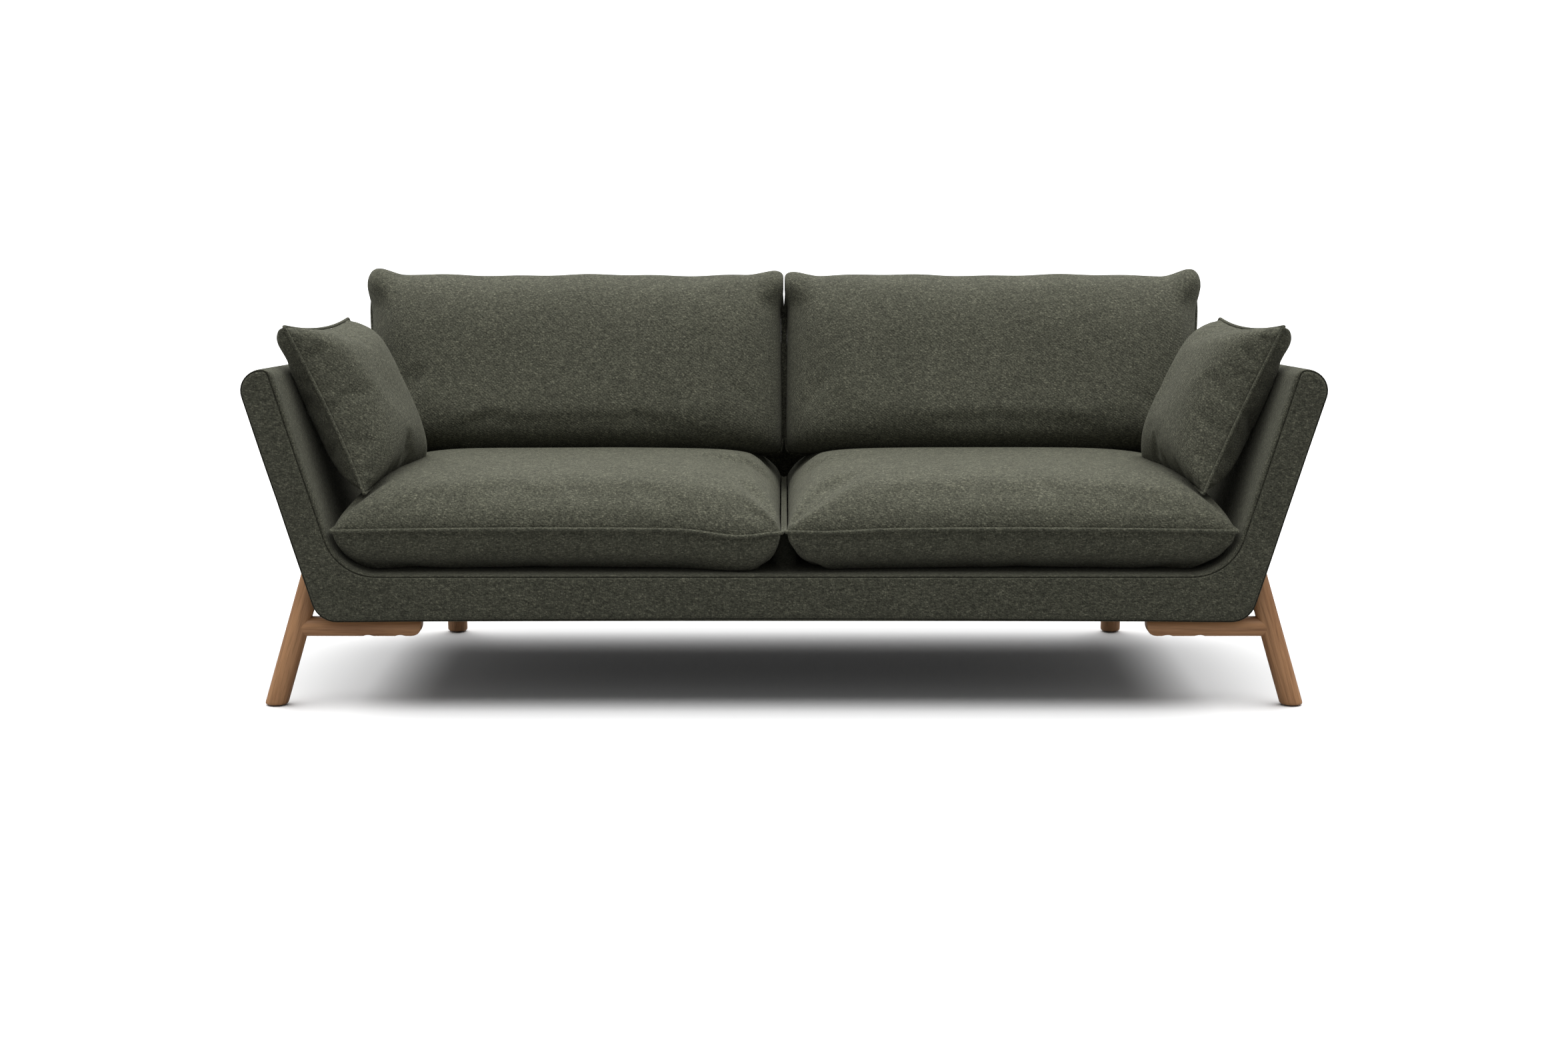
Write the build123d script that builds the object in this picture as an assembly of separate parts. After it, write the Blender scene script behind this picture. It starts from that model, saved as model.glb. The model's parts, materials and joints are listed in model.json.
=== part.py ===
"""Three-seat sofa on wooden trestle legs. Millimetres, +Z up, front towards -Y.

The origin is on the floor under the middle of the sofa. A U-shaped upholstered shell with
arms that lean outwards holds two seat cushions, two back cushions and two scatter cushions.
"""
from build123d import *
from math import atan2, radians, tan
import os

os.makedirs("parts", exist_ok=True)

# ---- shell ----
FRONT_Y = -450.0
SHELL_BOTTOM = 180.0          # underside of the shell
DECK_TOP = 274.0              # what the seat cushions rest on
ARM_TOP_FRONT = 678.0
ARM_TOP_REAR = 630.0
ARM_FOOT_X = 861.0            # where the line of the arm's outer face meets the floor
ARM_SLOPE = 0.307             # outward lean, mm of X for each mm of Z
ARM_WIDTH = 76.0              # across the arm, measured level
LEAN = (1 + ARM_SLOPE ** 2) ** 0.5
REAR_Y = 390.0                # rear face at the shell's underside
REAR_SLOPE = 0.134            # backward lean of the rear face
BACK_THICKNESS = 72.0
R_OUTER_FOOT = 50.0
R_OUTER_TOP = 42.0
R_INNER_TOP = 22.0
R_INNER_FOOT = 95.0
COVER = 2.0                   # upholstery fabric with its lining
ARM_FOAM = 24.0               # arm surface to the plywood, cover included
FRONT_FOAM = 14.0             # shell front to the front rail, cover included
DEPTH = 900.0                 # front to rear at the arms' top

# ---- timber frame ----
RAIL = 25.0
RAIL_TOP = 248.0
FRAME_BOTTOM = SHELL_BOTTOM + COVER
REAR_RAIL_Y = 357.0           # front face of the rear rail
CENTER_RAIL_WIDTH = 30.0
CENTER_RAIL_DROP = 10.0       # below the other rails, clear of the springs
CORNER_BLOCK_SIDE = 50.0
CORNER_BLOCK_HEIGHT = 40.0
LEG_BLOCK_HEIGHT = 40.0
FRONT_BLOCK_X = 730.0         # inner end of the front leg block
FRONT_BLOCK_DEPTH = 82.0
REAR_BLOCK_WIDTH = 110.0
REAR_BLOCK_DEPTH = 85.0
PANEL_RAISE = 6.0             # side panel above the frame's underside
PANEL_REAR_GAP = 12.0
FRAME_REAR_GAP = 4.0          # rear face to the posts and top rail
POST_WIDTH = 45.0
POST_XS = (-800.0, -270.0, 270.0, 800.0)
TOP_RAIL_HEIGHT = 45.0
WEBBING_HEIGHT = 50.0
WEBBING_COUNT = 5
WEBBING_THICKNESS = 2.0
WEBBING_RAISE = 14.0          # lowest strap above the rails

# ---- seat suspension ----
SPRING_WIRE = 4.0
SPRING_COUNT = 8
SPRING_PITCH = 200.0
SPRING_LOOP = 48.0
SPRING_HALF_WIDTH = 26.0
SPRING_BEND = 8.0             # radius of each bend
SPRING_END = 20.0             # straight wire at each end, held by the clip
CLIP_DEPTH = 12.0
CLIP_WIDTH = 18.0
CLIP_INSET = 7.0              # clip's middle from the rail's inner face
CLIP_PLAY = 0.2
DECK_PAD_BOTTOM = 258.0

# ---- legs ----
LEG_DIAMETER = 44.0
GLIDE_HEIGHT = 3.0
GLIDE_DIAMETER = 28.0
FRONT_LEG_X = 1015.5          # at the floor
FRONT_LEG_Y = -386.0
FRONT_LEG_LEAN = 16.8         # degrees, towards the middle going up
FOOT_ROUND = 5.0
BAR_DIAMETER = 40.0
BAR_AXIS_Z = 160.5
BAR_INNER_X = 720.0
BAR_NOSE = 26.0               # rounding under the bar's inner end
BAR_BOLT_XS = (763.0, 827.0)
COUNTERBORE_DIAMETER = 24.0
COUNTERBORE_TOP = 156.0
BOLT_DIAMETER = 8.0
BOLT_TOP = 232.0
BOLT_HOLE_TOP = 240.0
BOLT_HEAD = 13.0
BOLT_HEAD_HEIGHT = 8.0
SOCKET_RADIUS = 3.4
SOCKET_DEPTH = 5.0
WASHER_DIAMETER = 20.0
WASHER_THICKNESS = 2.0
TEE_FLANGE = 20.0
TEE_FLANGE_THICKNESS = 2.0
TEE_BARREL = 11.0
TEE_BARREL_LENGTH = 12.0
TENON_DIAMETER = 18.0
TENON_XS = (905.0, 974.0)
HEAD_BOLT_REACH = 18.0        # into the leg, past the arm's outer face
HEAD_BOLT_HEAD = 16.0
HEAD_BOLT_HEAD_HEIGHT = 6.0
INSERT_DIAMETER = 12.0
INSERT_REACH = (2.0, 19.0)    # nearest and furthest from the arm's outer face
REAR_LEG_X = 749.0
REAR_LEG_Y = 366.0            # at the floor
REAR_LEG_LEAN = 5.0           # degrees, forwards going up
PLATE_SIZE = 76.0
PLATE_THICKNESS = 3.0
PLATE_SHIFT = 8.0             # plate's middle in front of the leg's axis
HANGER_BOLT_ZS = (140.0, 205.0)
SCREW_TOP = 208.0
SCREW_INSET = 8.0             # from the plate's edges
SCREW_DIAMETER = 4.0
SCREW_HEAD = 8.0
SCREW_HEAD_HEIGHT = 2.0

# ---- cushions ----
CLEARANCE = 1.0               # between a cushion and what is beside or under it
MIDDLE_GAP = 2.0              # from the sofa's middle plane to each cushion
SEAT_TOP = 442.0
SEAT_END_TOP = 390.0          # at the arm, below the crown
SEAT_CROWN_X = 690.0          # where the top starts to fall towards the arm
SEAT_FRONT_Y = -445.0
SEAT_REAR_Y = 326.0
SEAT_END_RADII = (24.0, 200.0, 40.0)            # arm end, crown's shoulder, inner top
SEAT_SIDE_RADII = (34.0, 30.0, 30.0, 66.0)      # front bottom, rear bottom, rear top, front top
BACK_BOTTOM = SEAT_TOP + CLEARANCE
BACK_TOP = 838.0
BACK_FRONT_Y = 22.0
BACK_CUSHION_X_LOW = 866.0
BACK_CUSHION_X_HIGH = 937.0
BACK_CUSHION_LEAN = 200.0     # front face, from its foot to its top
BACK_CUSHION_REAR_GAP = 3.0   # to the padded back
BACK_FACE_RADII = (30.0, 50.0, 40.0, 40.0)      # inner bottom, outer bottom, outer top, inner top
BACK_SIDE_RADII = (75.0, 30.0, 45.0, 60.0)      # front bottom, rear bottom, rear top, front top
SCATTER_SIZE = 352.0
SCATTER_THICKNESS = 88.0
SCATTER_CENTRE = (-869.0, -181.0, 589.0)
SCATTER_ALONG = (0.177, 0.984, -0.029)    # from its front edge to its rear edge
SCATTER_NORMAL = (0.886, -0.147, 0.439)   # away from the arm
SCATTER_CORNER = 60.0
CUSHION_SKIN = 2.0
ZIP_WIDTH = 8.0
ZIP_DEPTH = 20.0              # enough to pass right through a cover
ZIP_XS = (120.0, 760.0)       # ends of the seat and back cushions' zips
SEAT_ZIP_Z = 360.0
BACK_ZIP_Y = 215.0
SCATTER_ZIP_LENGTH = 202.0

FAR = 2000.0
FLOOR = 0.0
ABOVE = 900.0                 # higher than the whole sofa


# ---- shared geometry ----
def outer_x(z):
    """Half-width of the shell's outer face at a height."""
    return ARM_FOOT_X + ARM_SLOPE * z


def inner_x(z):
    """Half-width between the arms' inner faces at a height."""
    return outer_x(z) - ARM_WIDTH


def panel_x(z):
    """Half-width between the plywood side panels at a height."""
    return inner_x(z) + ARM_FOAM * LEAN


def rear_y(z):
    return REAR_Y + REAR_SLOPE * (z - SHELL_BOTTOM)


def flip(shape):
    return mirror(shape, about=Plane.YZ)


def both_sides(shape):
    return [shape, flip(shape)]


def cross_face(points, radii, y):
    """A closed outline of (x, z) points on the plane at y, with rounded corners."""
    outline = FilletPolyline([(x, y, z) for x, z in points], radius=radii, close=True)
    return make_face(outline)


def cross_prism(points, radii, y_front, y_rear):
    """A cross-section of (x, z) points carried from front to rear."""
    face = cross_face(points, radii, y_front)
    return extrude(face, amount=y_rear - y_front, dir=(0, 1, 0))


def side_prism(points, radii, x_low=-FAR, x_high=FAR):
    """A side view of (y, z) points carried across the sofa."""
    outline = FilletPolyline([(x_low, y, z) for y, z in points], radius=radii, close=True)
    return extrude(make_face(outline), amount=x_high - x_low, dir=(1, 0, 0))


def block(x_low, x_high, y_low, y_high, z_low, z_high):
    size = (x_high - x_low, y_high - y_low, z_high - z_low)
    centre = ((x_low + x_high) / 2, (y_low + y_high) / 2, (z_low + z_high) / 2)
    return Pos(*centre) * Box(*size)


def rod(start, end, diameter):
    """A round bar between two points."""
    start, end = Vector(*start), Vector(*end)
    run = end - start
    return Plane(origin=start, z_dir=run) * Cylinder(
        diameter / 2, run.length, align=(Align.CENTER, Align.CENTER, Align.MIN))


def cut(shape, *tools):
    for tool in tools:
        shape = shape - tool
    return shape


def rear_slab(gap_front, gap_rear, z_low, z_high):
    """A slab that leans with the rear face, between two depths measured level from it."""
    return side_prism([
        (rear_y(z_low) - gap_rear, z_low), (rear_y(z_low) - gap_front, z_low),
        (rear_y(z_high) - gap_front, z_high), (rear_y(z_high) - gap_rear, z_high)], 0)


def between_arms(half_width, z_low, z_high):
    """Everything between two leaning side planes, half_width(z) each side."""
    return cross_prism([
        (-half_width(z_low), z_low), (half_width(z_low), z_low),
        (half_width(z_high), z_high), (-half_width(z_high), z_high)], 0, -FAR / 2, FAR / 2)


def ahead_of_rear(inset):
    """The space in front of the leaning rear face, less an inset."""
    return side_prism([
        (-FAR, FLOOR), (rear_y(FLOOR) - inset, FLOOR),
        (rear_y(ABOVE) - inset, ABOVE), (-FAR, ABOVE)], 0)


# ---- shell: arm modules ----
ARC_PLAY = 0.01               # keeps a little straight run beside the inner foot's arc
DECK_EDGE = inner_x(DECK_TOP) - R_INNER_FOOT / tan((radians(180) - atan2(1, ARM_SLOPE)) / 2)


def arm_foot_outline(inset):
    """Right arm's lower part with its rounded inner foot, carried well above the arm's top."""
    grow = inset * LEAN
    bottom, deck = SHELL_BOTTOM + inset, DECK_TOP - inset
    points = [
        (DECK_EDGE, bottom), (outer_x(bottom) - grow, bottom), (outer_x(ABOVE) - grow, ABOVE),
        (inner_x(ABOVE) + grow, ABOVE), (inner_x(deck) + grow, deck), (DECK_EDGE, deck)]
    return points, [0, R_OUTER_FOOT - inset, 0, 0, R_INNER_FOOT + inset - ARC_PLAY, 0]


def arm_top_outline(inset):
    """Right arm's rounded top at the front, over a wide foot that reaches below the shell."""
    grow, waist, foot_x = inset * LEAN, 500.0, DECK_EDGE - 100.0
    top = ARM_TOP_FRONT - inset
    points = [
        (foot_x, FLOOR), (outer_x(FLOOR) - grow, FLOOR), (outer_x(top) - grow, top),
        (inner_x(top) + grow, top), (inner_x(waist) + grow, waist), (foot_x, waist)]
    return points, [0, 0, R_OUTER_TOP - inset, R_INNER_TOP - inset, 0, 0]


def arm_module(inset, front_inset):
    """The arm's solid form, inset evenly. Its top falls towards the rear within its side planes."""
    length = DEPTH + 20.0
    fall = (ARM_TOP_FRONT - ARM_TOP_REAR) / DEPTH
    foot = cross_prism(*arm_foot_outline(inset), FRONT_Y + front_inset, FRONT_Y + length)
    top_run = Vector(-ARM_SLOPE * fall, 1, -fall) * length
    top = extrude(cross_face(*arm_top_outline(inset), FRONT_Y), amount=top_run.length, dir=top_run)
    return foot & top & ahead_of_rear(COVER)


def side_panel():
    """Plywood core of the right arm."""
    low = FRAME_BOTTOM + PANEL_RAISE
    front, rear = ARM_TOP_FRONT - ARM_FOAM, ARM_TOP_REAR - ARM_FOAM
    thickness = ARM_WIDTH - 2 * ARM_FOAM * LEAN
    slab = cross_prism([
        (panel_x(low), low), (panel_x(low) + thickness, low),
        (panel_x(front) + thickness, front), (panel_x(front), front)],
        0, FRONT_Y + FRONT_FOAM, FRONT_Y + DEPTH)
    below_top = side_prism([
        (FRONT_Y, FLOOR), (FRONT_Y + DEPTH, FLOOR), (FRONT_Y + DEPTH, rear), (FRONT_Y, front)], 0)
    return slab & below_top & ahead_of_rear(COVER + PANEL_REAR_GAP)


def base_space():
    """Room for the timber base inside the right arm module."""
    high = DECK_PAD_BOTTOM + COVER
    return cross_prism([
        (DECK_EDGE - 1, FLOOR), (panel_x(FLOOR), FLOOR), (panel_x(high), high), (DECK_EDGE - 1, high)],
        0, -FAR / 2, FAR / 2)


def arm_side():
    """Everything outward of the right arm's inner face."""
    return cross_prism([
        (inner_x(FLOOR), FLOOR), (FAR, FLOOR), (FAR, ABOVE), (inner_x(ABOVE), ABOVE)],
        0, -FAR / 2, FAR / 2)


# ---- timber frame ----
def base_rail(y_front):
    return between_arms(panel_x, FRAME_BOTTOM, RAIL_TOP) & block(
        -FAR, FAR, y_front, y_front + RAIL, FRAME_BOTTOM, RAIL_TOP)


FRONT_RAIL_Y = FRONT_Y + FRONT_FOAM
front_rail = base_rail(FRONT_RAIL_Y)
rear_rail = base_rail(REAR_RAIL_Y)
inside_front, inside_rear = FRONT_RAIL_Y + RAIL, REAR_RAIL_Y
center_rail = block(-CENTER_RAIL_WIDTH / 2, CENTER_RAIL_WIDTH / 2, inside_front, inside_rear,
                    FRAME_BOTTOM, RAIL_TOP - CENTER_RAIL_DROP)

top_rail_z = ARM_TOP_REAR - ARM_FOAM - TOP_RAIL_HEIGHT
frame_front_gap = FRAME_REAR_GAP + RAIL
back_top_rail = rear_slab(
    FRAME_REAR_GAP, frame_front_gap, top_rail_z, top_rail_z + TOP_RAIL_HEIGHT) & between_arms(
    panel_x, top_rail_z - 1, top_rail_z + TOP_RAIL_HEIGHT + 1)


def back_post(x):
    slab = rear_slab(FRAME_REAR_GAP, frame_front_gap, RAIL_TOP, top_rail_z)
    return slab & block(x - POST_WIDTH / 2, x + POST_WIDTH / 2, -FAR, FAR, FLOOR, FAR)


def webbing_strap(index):
    lowest = RAIL_TOP + WEBBING_RAISE
    step = (top_rail_z - lowest - WEBBING_HEIGHT) / (WEBBING_COUNT - 1)
    z = lowest + index * step
    reach = POST_XS[-1] + POST_WIDTH / 2
    strap = rear_slab(frame_front_gap, frame_front_gap + WEBBING_THICKNESS, z, z + WEBBING_HEIGHT)
    return strap & block(-reach, reach, -FAR, FAR, FLOOR, FAR)


def corner_block(x_side, y_wall, y_side):
    """Glued triangular block where the centre rail meets a cross rail."""
    x, z = CENTER_RAIL_WIDTH / 2 * x_side, FRAME_BOTTOM + CENTER_RAIL_DROP
    outline = Polyline([
        (x, y_wall, z), (x + CORNER_BLOCK_SIDE * x_side, y_wall, z),
        (x, y_wall + CORNER_BLOCK_SIDE * y_side, z)], close=True)
    return extrude(make_face(outline), amount=CORNER_BLOCK_HEIGHT, dir=(0, 0, 1))


block_top = FRAME_BOTTOM + LEG_BLOCK_HEIGHT
front_leg_block = cross_prism([
    (FRONT_BLOCK_X, FRAME_BOTTOM), (panel_x(FRAME_BOTTOM), FRAME_BOTTOM),
    (panel_x(block_top), block_top), (FRONT_BLOCK_X, block_top)],
    0, inside_front, inside_front + FRONT_BLOCK_DEPTH)
rear_leg_block = block(
    REAR_LEG_X - REAR_BLOCK_WIDTH / 2, REAR_LEG_X + REAR_BLOCK_WIDTH / 2,
    inside_rear - REAR_BLOCK_DEPTH, inside_rear, FRAME_BOTTOM, block_top)

# ---- seat suspension ----
SPRING_Z = RAIL_TOP + SPRING_WIRE / 2
spring_front, spring_rear = inside_front - CLIP_INSET, inside_rear + CLIP_INSET


def zigzag_spring(x):
    """One sinuous wire spring from the front rail's clip to the rear rail's clip."""
    first, last = spring_front + SPRING_END, spring_rear - SPRING_END
    loops = int((last - first) // SPRING_LOOP)
    loop_length = (last - first) / loops
    points = [(x, spring_front - CLIP_DEPTH / 2, SPRING_Z), (x, first, SPRING_Z)]
    for loop in range(loops):
        side = SPRING_HALF_WIDTH if loop % 2 else -SPRING_HALF_WIDTH
        y = first + loop * loop_length
        slant = 0.12 * loop_length
        points += [(x + side, y + slant, SPRING_Z), (x + side, y + loop_length - slant, SPRING_Z)]
    points += [(x, last, SPRING_Z), (x, spring_rear + CLIP_DEPTH / 2, SPRING_Z)]
    path = FilletPolyline(points, radius=SPRING_BEND)
    section = Plane(origin=path @ 0, z_dir=path % 0) * Circle(SPRING_WIRE / 2)
    return sweep(section, path=path)


def spring_clip(x, y):
    """Steel clip that holds the wire's end down on a rail."""
    front, rear = y - CLIP_DEPTH / 2, y + CLIP_DEPTH / 2
    body = block(x - CLIP_WIDTH / 2, x + CLIP_WIDTH / 2, front, rear,
                 RAIL_TOP, RAIL_TOP + SPRING_WIRE + 2)
    half = SPRING_WIRE / 2 + CLIP_PLAY
    return body - block(x - half, x + half, front - 1, rear + 1, RAIL_TOP - 1, RAIL_TOP + 2 * half)


spring_xs = [(i - (SPRING_COUNT - 1) / 2) * SPRING_PITCH for i in range(SPRING_COUNT)]
spring_clips = [spring_clip(x, y) for x in spring_xs for y in (spring_front, spring_rear)]
seat_springs = [zigzag_spring(x) for x in spring_xs]

# ---- padding and covers of the shell ----
panel = side_panel()
padded_arm = arm_module(COVER, COVER)
arm_foam = cut(padded_arm, panel, base_space(), back_top_rail)
arm_pad = arm_foam & arm_side()
back_space = rear_slab(COVER, BACK_THICKNESS, RAIL_TOP, ARM_TOP_REAR) & between_arms(
    inner_x, RAIL_TOP - 1, ARM_TOP_REAR + 1)
corner_pad = cut(arm_foam, arm_side()) & ahead_of_rear(BACK_THICKNESS)
arm_cover = cut(arm_module(0, COVER), padded_arm, back_top_rail, back_space)

front_pad = (between_arms(panel_x, FRAME_BOTTOM, DECK_PAD_BOTTOM + COVER) & block(
    -FAR, FAR, FRONT_Y + COVER, FRONT_RAIL_Y, FRAME_BOTTOM, DECK_PAD_BOTTOM + COVER)) + block(
    -DECK_EDGE, DECK_EDGE, FRONT_Y + COVER, inside_front, DECK_PAD_BOTTOM + COVER, DECK_TOP - COVER)
deck_pad = block(-DECK_EDGE, DECK_EDGE, inside_front, FAR, DECK_PAD_BOTTOM, DECK_TOP - COVER)
deck_pad &= ahead_of_rear(BACK_THICKNESS)
deck_cloth = block(
    -DECK_EDGE, DECK_EDGE, FRONT_Y + COVER, FAR, DECK_TOP - COVER, DECK_TOP)
deck_cloth &= ahead_of_rear(BACK_THICKNESS)
dust_cover = block(
    -DECK_EDGE, DECK_EDGE, FRONT_Y + COVER, FAR, SHELL_BOTTOM, SHELL_BOTTOM + COVER)
dust_cover &= ahead_of_rear(COVER)


def back_form(inset):
    """Inner padding of the back: a slab in front of the posts that laps over the top rail."""
    top = ARM_TOP_REAR - inset
    webbing_front_gap = frame_front_gap + WEBBING_THICKNESS
    slab = rear_slab(webbing_front_gap, BACK_THICKNESS - inset, DECK_TOP, top)
    lap = rear_slab(COVER, BACK_THICKNESS - inset, top_rail_z + TOP_RAIL_HEIGHT, top)
    return (slab + lap) & between_arms(inner_x, DECK_TOP - 1, ARM_TOP_REAR + 1)


back_pad = back_form(COVER)
inside_back_cover = back_form(0) - back_pad


def shell_outline():
    """The whole U of the shell seen from the front."""
    foot, foot_radii = arm_foot_outline(0)
    head, head_radii = arm_top_outline(0)
    half = [(foot[1], foot_radii[1]), (head[2], head_radii[2]),
            (head[3], head_radii[3]), (foot[4], foot_radii[4])]
    other = [((-x, z), radius) for (x, z), radius in reversed(half)]
    return [p for p, _ in half + other], [r for _, r in half + other]


front_facing_cover = cross_prism(*shell_outline(), FRONT_Y, FRONT_Y + COVER)
rear_outline = [
    (outer_x(SHELL_BOTTOM), SHELL_BOTTOM), (outer_x(ARM_TOP_REAR), ARM_TOP_REAR),
    (-outer_x(ARM_TOP_REAR), ARM_TOP_REAR), (-outer_x(SHELL_BOTTOM), SHELL_BOTTOM)]
outside_back_cover = cross_prism(
    rear_outline, [R_OUTER_FOOT, R_OUTER_TOP, R_OUTER_TOP, R_OUTER_FOOT], 0, FAR) & rear_slab(
    0, COVER, FLOOR, ABOVE)

# ---- front trestle: leaning leg with a crossbar teed into it ----
lean = radians(FRONT_LEG_LEAN)
LEG_START_Z, LEG_END_Z = -40.0, 330.0           # before the leg is trimmed to the floor and the arm


def leg_axis_x(z):
    return FRONT_LEG_X - tan(lean) * z


def outside_arm():
    """The space outward of the shell's outer face."""
    low = LEG_START_Z - LEG_DIAMETER
    return cross_prism([
        (outer_x(low), low), (FAR, low), (FAR, ABOVE), (outer_x(ABOVE), ABOVE)],
        0, -FAR / 2, FAR / 2)


def rounded_foot(leg):
    foot_edge = leg.edges().sort_by(Axis.Z)[0]
    return fillet(foot_edge, FOOT_ROUND)


front_leg = rod((leg_axis_x(LEG_START_Z), FRONT_LEG_Y, LEG_START_Z),
                (leg_axis_x(LEG_END_Z), FRONT_LEG_Y, LEG_END_Z), LEG_DIAMETER)
front_leg = front_leg & outside_arm() & block(0, FAR, -FAR, FAR, GLIDE_HEIGHT, FAR)
front_leg = rounded_foot(front_leg)

bar = rod((BAR_INNER_X, FRONT_LEG_Y, BAR_AXIS_Z), (leg_axis_x(BAR_AXIS_Z), FRONT_LEG_Y, BAR_AXIS_Z),
          BAR_DIAMETER)
bar_low = BAR_AXIS_Z - BAR_DIAMETER / 2
bar &= cross_prism(
    [(BAR_INNER_X, bar_low), (FAR / 2, bar_low), (FAR / 2, SHELL_BOTTOM), (BAR_INNER_X, SHELL_BOTTOM)],
    [BAR_NOSE, 0, 0, 0], FRONT_LEG_Y - BAR_DIAMETER, FRONT_LEG_Y + BAR_DIAMETER)
bar = cut(bar, front_leg)
tenon = rod((TENON_XS[0], FRONT_LEG_Y, BAR_AXIS_Z), (TENON_XS[1], FRONT_LEG_Y, BAR_AXIS_Z),
            TENON_DIAMETER)


def upright(x, z_low, z_high, diameter):
    """A round bar straight up through the crossbar's middle line."""
    return rod((x, FRONT_LEG_Y, z_low), (x, FRONT_LEG_Y, z_high), diameter)


def bar_bolt(x):
    """Socket-head bolt that pulls the crossbar up against the leg block."""
    head_top = COUNTERBORE_TOP - WASHER_THICKNESS
    head_bottom = head_top - BOLT_HEAD_HEIGHT
    hexagon = extrude(RegularPolygon(SOCKET_RADIUS, 6), amount=SOCKET_DEPTH)
    head = upright(x, head_bottom, head_top, BOLT_HEAD)
    return head + upright(x, head_top, BOLT_TOP, BOLT_DIAMETER) - Pos(x, FRONT_LEG_Y, head_bottom) * hexagon


def bar_washer(x):
    ring = upright(x, COUNTERBORE_TOP - WASHER_THICKNESS, COUNTERBORE_TOP, WASHER_DIAMETER)
    return ring - upright(x, FLOOR, FAR, BOLT_DIAMETER)


def tee_nut(x):
    flange = upright(x, block_top, block_top + TEE_FLANGE_THICKNESS, TEE_FLANGE)
    barrel = upright(x, block_top - TEE_BARREL_LENGTH, block_top, TEE_BARREL)
    return flange + barrel - upright(x, FLOOR, FAR, BOLT_DIAMETER)


bar_bolts = [bar_bolt(x) for x in BAR_BOLT_XS]
bar_washers = [bar_washer(x) for x in BAR_BOLT_XS]
tee_nuts = [tee_nut(x) for x in BAR_BOLT_XS]
bolt_holes = [upright(x, FLOOR, BOLT_HOLE_TOP, BOLT_DIAMETER) for x in BAR_BOLT_XS]
counterbores = [upright(x, FLOOR, COUNTERBORE_TOP, COUNTERBORE_DIAMETER) for x in BAR_BOLT_XS]

# bolt from inside the arm into the head of the leg, square to the arm's face
head_z = (FRONT_LEG_X - ARM_FOOT_X) / (ARM_SLOPE + tan(lean))
outward = Vector(1, 0, -ARM_SLOPE).normalized()
leg_head = Vector(outer_x(head_z), FRONT_LEG_Y, head_z)
panel_inner_depth = ARM_WIDTH / LEAN - ARM_FOAM


def along_head(depth):
    """A point on the head bolt's line; depth is positive out into the leg."""
    return tuple(leg_head + outward * depth)


leg_head_bolt = rod(
    along_head(-panel_inner_depth), along_head(HEAD_BOLT_REACH), BOLT_DIAMETER) + rod(
    along_head(-panel_inner_depth - HEAD_BOLT_HEAD_HEIGHT), along_head(-panel_inner_depth),
    HEAD_BOLT_HEAD)
leg_insert = rod(along_head(INSERT_REACH[0]), along_head(INSERT_REACH[1]), INSERT_DIAMETER)
leg_insert = leg_insert - leg_head_bolt

# ---- rear leg on a screwed plate ----
rear_lean = radians(REAR_LEG_LEAN)
plate_bottom = SHELL_BOTTOM - PLATE_THICKNESS


def rear_axis_y(z):
    return REAR_LEG_Y - tan(rear_lean) * z


def on_rear_axis(z):
    return (REAR_LEG_X, rear_axis_y(z), z)


rear_leg = rod(on_rear_axis(LEG_START_Z), on_rear_axis(LEG_END_Z), LEG_DIAMETER)
rear_leg = rounded_foot(rear_leg & block(0, FAR, -FAR, FAR, GLIDE_HEIGHT, plate_bottom))
plate_y = rear_axis_y(plate_bottom) - PLATE_SHIFT
rear_plate = block(REAR_LEG_X - PLATE_SIZE / 2, REAR_LEG_X + PLATE_SIZE / 2,
                   plate_y - PLATE_SIZE / 2, plate_y + PLATE_SIZE / 2, plate_bottom, SHELL_BOTTOM)
hanger_bolt = rod(
    on_rear_axis(HANGER_BOLT_ZS[0]), on_rear_axis(HANGER_BOLT_ZS[1]), BOLT_DIAMETER)


def plate_screw(x_side, y_side):
    x = REAR_LEG_X + x_side * (PLATE_SIZE / 2 - SCREW_INSET)
    y = plate_y + y_side * (PLATE_SIZE / 2 - SCREW_INSET)
    return rod((x, y, plate_bottom), (x, y, SCREW_TOP), SCREW_DIAMETER) + rod(
        (x, y, plate_bottom - SCREW_HEAD_HEIGHT), (x, y, plate_bottom), SCREW_HEAD)


plate_screws = [plate_screw(x, y) for x in (-1, 1) for y in (-1, 1)]


def glide(x, y):
    return rod((x, y, 0), (x, y, GLIDE_HEIGHT), GLIDE_DIAMETER)


front_glide = glide(leg_axis_x(GLIDE_HEIGHT), FRONT_LEG_Y)
rear_glide = glide(REAR_LEG_X, rear_axis_y(GLIDE_HEIGHT))

# ---- make room for the fixings ----
tee_barrels = [upright(x, block_top - TEE_BARREL_LENGTH, BOLT_HOLE_TOP, TEE_BARREL)
               for x in BAR_BOLT_XS]
front_leg_block = cut(front_leg_block, *bolt_holes, *tee_barrels)
bar = cut(bar, tenon, *counterbores, *bolt_holes)
front_leg = cut(front_leg, tenon, leg_insert, leg_head_bolt)
rear_leg = cut(rear_leg, hanger_bolt)
rear_plate = cut(rear_plate, hanger_bolt, *plate_screws)
rear_leg_block = cut(rear_leg_block, hanger_bolt, *plate_screws)
rear_rail = cut(rear_rail, *plate_screws, *[flip(s) for s in plate_screws])
right_fixings = [*bolt_holes, hanger_bolt, *plate_screws]
dust_cover = cut(dust_cover, *right_fixings, *[flip(f) for f in right_fixings])
arm_cover = cut(arm_cover, *bolt_holes, leg_head_bolt)
arm_pad = cut(arm_pad, leg_head_bolt)
panel = cut(panel, leg_head_bolt)

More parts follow.
